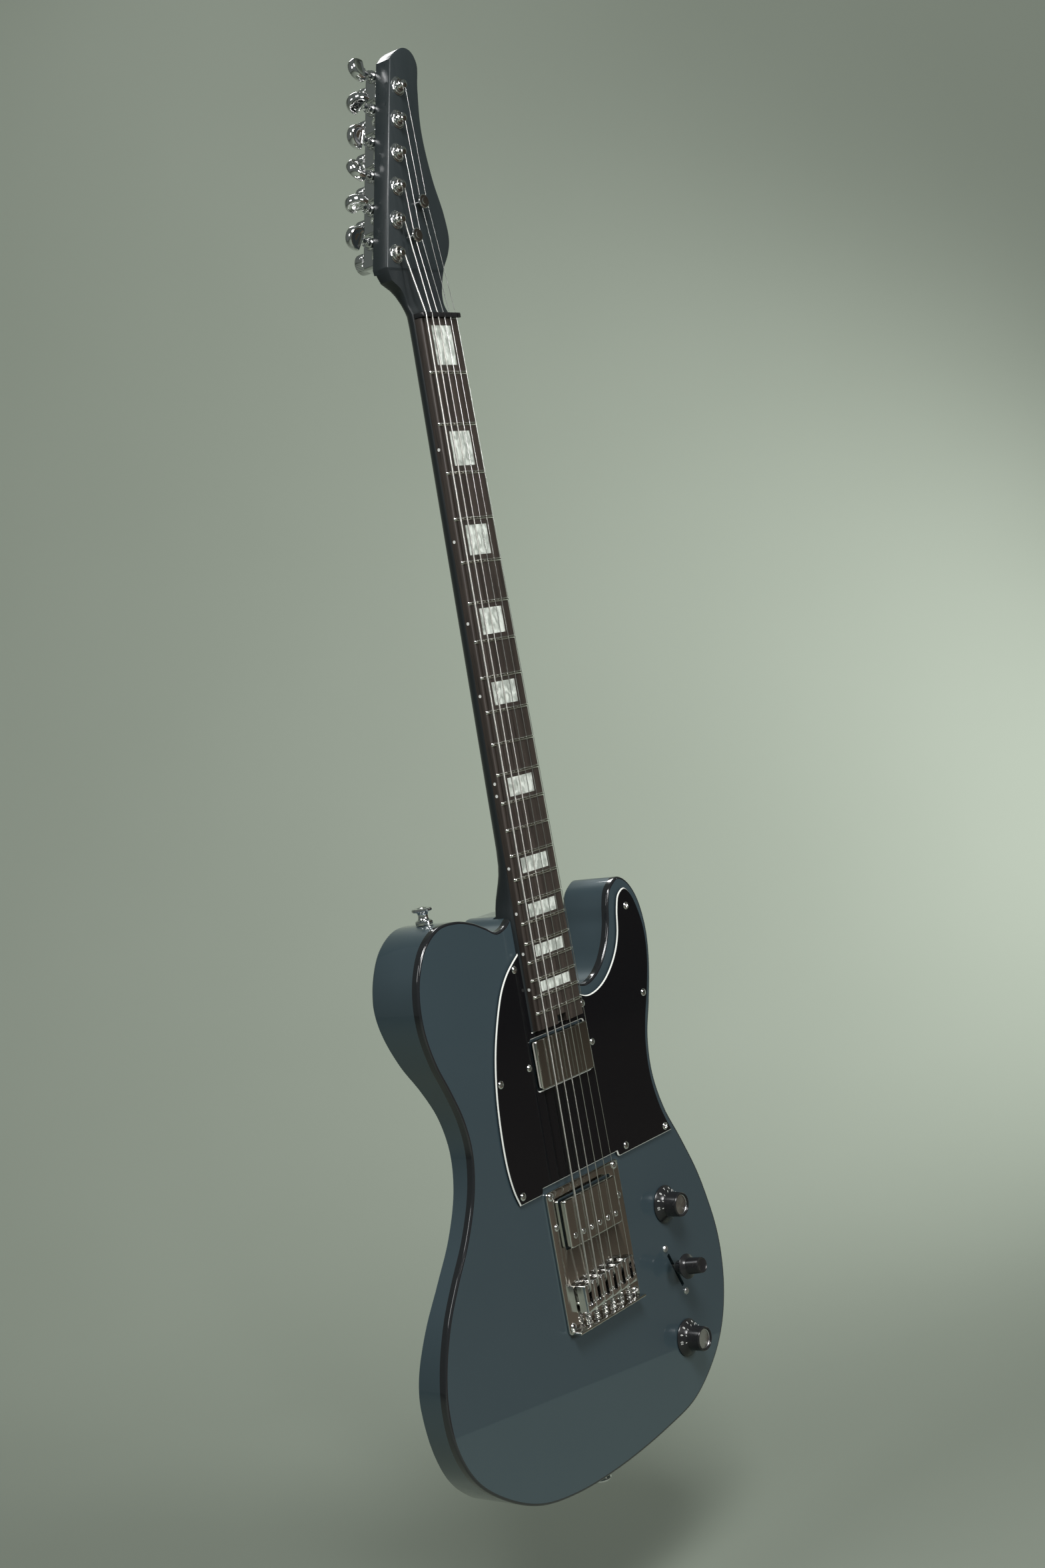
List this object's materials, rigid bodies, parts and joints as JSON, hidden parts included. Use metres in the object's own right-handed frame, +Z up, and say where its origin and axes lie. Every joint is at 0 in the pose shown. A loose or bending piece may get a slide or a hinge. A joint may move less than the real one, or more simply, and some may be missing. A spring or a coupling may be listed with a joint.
{
  "type": "baritone electric guitar",
  "caption": "Solid-body single-cutaway long-scale electric guitar with bolted neck, locking tuners, plate bridge and covered pickups.",
  "frame": {"origin": "centre line of the neck, at the body's playing face and level with the body's lowest edge", "axes": "+Z up along the neck towards the headstock, -Y towards the player's picking hand side (the playing face), +X towards the treble side"},
  "size_m": [0.3504, 0.0761, 1.0796],
  "materials": {
    "body_paint": "gloss",
    "black_gloss": "gloss",
    "neck_black": "satin",
    "ebony": "satin",
    "chrome": "polished",
    "nickel": "polished",
    "steel": "satin",
    "black_plastic": "gloss"
  },
  "bodies": {
    "guitar": {"body": "body_paint", "body_binding": "black_gloss", "pickguard": "black_gloss", "control_cover": "black_plastic", "neck": "neck_black", "fingerboard": "ebony", "nut": "black_plastic", "truss_rod": "steel", "bridge_plate": "chrome", "volume_pot": "steel", "tone_pot": "steel", "switch_frame": "steel", "jack_plate": "chrome", "output_jack": "chrome", "strap_button_top": "chrome", "strap_button_bottom": "chrome", "string_1": "steel", "string_2": "steel", "string_3": "steel", "string_4": "steel", "string_5": "steel", "string_6": "steel", "saddle_spring_1": "steel", "saddle_spring_2": "steel", "saddle_spring_3": "steel", "saddle_spring_4": "steel", "saddle_spring_5": "steel", "saddle_spring_6": "steel"},
    "truss_wheel": {"truss_rod_wheel": "steel"},
    "button_1": {"tuner_button_1": "chrome"},
    "button_2": {"tuner_button_2": "chrome"},
    "button_3": {"tuner_button_3": "chrome"},
    "button_4": {"tuner_button_4": "chrome"},
    "button_5": {"tuner_button_5": "chrome"},
    "button_6": {"tuner_button_6": "chrome"},
    "post_1": {"string_post_1": "chrome"},
    "post_2": {"string_post_2": "chrome"},
    "post_3": {"string_post_3": "chrome"},
    "post_4": {"string_post_4": "chrome"},
    "post_5": {"string_post_5": "chrome"},
    "post_6": {"string_post_6": "chrome"},
    "lock_1": {"lock_wheel_1": "chrome"},
    "lock_2": {"lock_wheel_2": "chrome"},
    "lock_3": {"lock_wheel_3": "chrome"},
    "lock_4": {"lock_wheel_4": "chrome"},
    "lock_5": {"lock_wheel_5": "chrome"},
    "lock_6": {"lock_wheel_6": "chrome"},
    "volume": {"volume_knob": "black_plastic"},
    "tone": {"tone_knob": "black_plastic"},
    "switch": {"switch_lever": "steel", "switch_tip": "black_plastic"},
    "saddle_1": {"saddle_1": "chrome"},
    "saddle_2": {"saddle_2": "chrome"},
    "saddle_3": {"saddle_3": "chrome"},
    "saddle_4": {"saddle_4": "chrome"},
    "saddle_5": {"saddle_5": "chrome"},
    "saddle_6": {"saddle_6": "chrome"},
    "neck_pickup": {"neck_pickup": "nickel"},
    "bridge_pickup": {"bridge_pickup": "nickel"}
  },
  "joints": [
    {"name": "truss_wheel_turn", "type": "hinge", "parent": "guitar", "child": "truss_wheel", "pos_m": [0, 0.0018, 0.3455], "axis": [0, 0, 1], "range_deg": [-360, 360]},
    {"name": "tuner_button_turn_1", "type": "hinge", "parent": "guitar", "child": "button_1", "pos_m": [-0.02011, 0.0205, 0.9219], "axis": [-0.9603, 0, 0.2791], "continuous": true},
    {"name": "tuner_button_turn_2", "type": "hinge", "parent": "guitar", "child": "button_2", "pos_m": [-0.01311, 0.0205, 0.9467], "axis": [-0.9603, 0, 0.2791], "continuous": true},
    {"name": "tuner_button_turn_3", "type": "hinge", "parent": "guitar", "child": "button_3", "pos_m": [-0.00611, 0.0205, 0.9715], "axis": [-0.9603, 0, 0.2791], "continuous": true},
    {"name": "tuner_button_turn_4", "type": "hinge", "parent": "guitar", "child": "button_4", "pos_m": [0.00089, 0.0205, 0.9963], "axis": [-0.9603, 0, 0.2791], "continuous": true},
    {"name": "tuner_button_turn_5", "type": "hinge", "parent": "guitar", "child": "button_5", "pos_m": [0.00789, 0.0205, 1.0211], "axis": [-0.9603, 0, 0.2791], "continuous": true},
    {"name": "tuner_button_turn_6", "type": "hinge", "parent": "guitar", "child": "button_6", "pos_m": [0.01489, 0.0205, 1.0459], "axis": [-0.9603, 0, 0.2791], "continuous": true},
    {"name": "string_post_turn_1", "type": "hinge", "parent": "guitar", "child": "post_1", "pos_m": [-0.0229, 0, 0.9123], "axis": [0, -1, 0], "continuous": true},
    {"name": "string_post_turn_2", "type": "hinge", "parent": "guitar", "child": "post_2", "pos_m": [-0.0159, 0, 0.9371], "axis": [0, -1, 0], "continuous": true},
    {"name": "string_post_turn_3", "type": "hinge", "parent": "guitar", "child": "post_3", "pos_m": [-0.0089, 0, 0.9619], "axis": [0, -1, 0], "continuous": true},
    {"name": "string_post_turn_4", "type": "hinge", "parent": "guitar", "child": "post_4", "pos_m": [-0.0019, 0, 0.9867], "axis": [0, -1, 0], "continuous": true},
    {"name": "string_post_turn_5", "type": "hinge", "parent": "guitar", "child": "post_5", "pos_m": [0.0051, 0, 1.0115], "axis": [0, -1, 0], "continuous": true},
    {"name": "string_post_turn_6", "type": "hinge", "parent": "guitar", "child": "post_6", "pos_m": [0.0121, 0, 1.0363], "axis": [0, -1, 0], "continuous": true},
    {"name": "lock_wheel_turn_1", "type": "hinge", "parent": "guitar", "child": "lock_1", "pos_m": [-0.0229, 0.0273, 0.9123], "axis": [0, 1, 0], "range_deg": [-540, 180]},
    {"name": "lock_wheel_turn_2", "type": "hinge", "parent": "guitar", "child": "lock_2", "pos_m": [-0.0159, 0.0273, 0.9371], "axis": [0, 1, 0], "range_deg": [-540, 180]},
    {"name": "lock_wheel_turn_3", "type": "hinge", "parent": "guitar", "child": "lock_3", "pos_m": [-0.0089, 0.0273, 0.9619], "axis": [0, 1, 0], "range_deg": [-540, 180]},
    {"name": "lock_wheel_turn_4", "type": "hinge", "parent": "guitar", "child": "lock_4", "pos_m": [-0.0019, 0.0273, 0.9867], "axis": [0, 1, 0], "range_deg": [-540, 180]},
    {"name": "lock_wheel_turn_5", "type": "hinge", "parent": "guitar", "child": "lock_5", "pos_m": [0.0051, 0.0273, 1.0115], "axis": [0, 1, 0], "range_deg": [-540, 180]},
    {"name": "lock_wheel_turn_6", "type": "hinge", "parent": "guitar", "child": "lock_6", "pos_m": [0.0121, 0.0273, 1.0363], "axis": [0, 1, 0], "range_deg": [-540, 180]},
    {"name": "volume_turn", "type": "hinge", "parent": "guitar", "child": "volume", "pos_m": [0.0982, 0, 0.1689], "axis": [0, -1, 0], "range_deg": [0, 280]},
    {"name": "tone_turn", "type": "hinge", "parent": "guitar", "child": "tone", "pos_m": [0.0983, 0, 0.0604], "axis": [0, -1, 0], "range_deg": [0, 280]},
    {"name": "switch_swing", "type": "hinge", "parent": "guitar", "child": "switch", "pos_m": [0.098, 0.016, 0.1154], "axis": [0.9143, 0, 0.4051], "range_deg": [0, 18]},
    {"name": "saddle_slide_1", "type": "slide", "parent": "guitar", "child": "saddle_1", "axis": [0, 0, 1], "range_m": [-0.003, 0.003], "deforming": ["saddle_spring_1", "string_1"]},
    {"name": "saddle_slide_2", "type": "slide", "parent": "guitar", "child": "saddle_2", "axis": [0, 0, 1], "range_m": [-0.003, 0.003], "deforming": ["saddle_spring_2", "string_2"]},
    {"name": "saddle_slide_3", "type": "slide", "parent": "guitar", "child": "saddle_3", "axis": [0, 0, 1], "range_m": [-0.003, 0.003], "deforming": ["saddle_spring_3", "string_3"]},
    {"name": "saddle_slide_4", "type": "slide", "parent": "guitar", "child": "saddle_4", "axis": [0, 0, 1], "range_m": [-0.003, 0.003], "deforming": ["saddle_spring_4", "string_4"]},
    {"name": "saddle_slide_5", "type": "slide", "parent": "guitar", "child": "saddle_5", "axis": [0, 0, 1], "range_m": [-0.003, 0.003], "deforming": ["saddle_spring_5", "string_5"]},
    {"name": "saddle_slide_6", "type": "slide", "parent": "guitar", "child": "saddle_6", "axis": [0, 0, 1], "range_m": [-0.003, 0.003], "deforming": ["saddle_spring_6", "string_6"]},
    {"name": "neck_pickup_height", "type": "slide", "parent": "guitar", "child": "neck_pickup", "axis": [0, -1, 0], "range_m": [-0.002, 0.002]},
    {"name": "bridge_pickup_height", "type": "slide", "parent": "guitar", "child": "bridge_pickup", "axis": [0, -1, 0], "range_m": [-0.002, 0.002]}
  ],
  "couplings": [
    {"joint": "string_post_turn_1", "follows": "tuner_button_turn_1", "ratio": 0.055556},
    {"joint": "string_post_turn_2", "follows": "tuner_button_turn_2", "ratio": 0.055556},
    {"joint": "string_post_turn_3", "follows": "tuner_button_turn_3", "ratio": 0.055556},
    {"joint": "string_post_turn_4", "follows": "tuner_button_turn_4", "ratio": 0.055556},
    {"joint": "string_post_turn_5", "follows": "tuner_button_turn_5", "ratio": 0.055556},
    {"joint": "string_post_turn_6", "follows": "tuner_button_turn_6", "ratio": 0.055556}
  ]
}
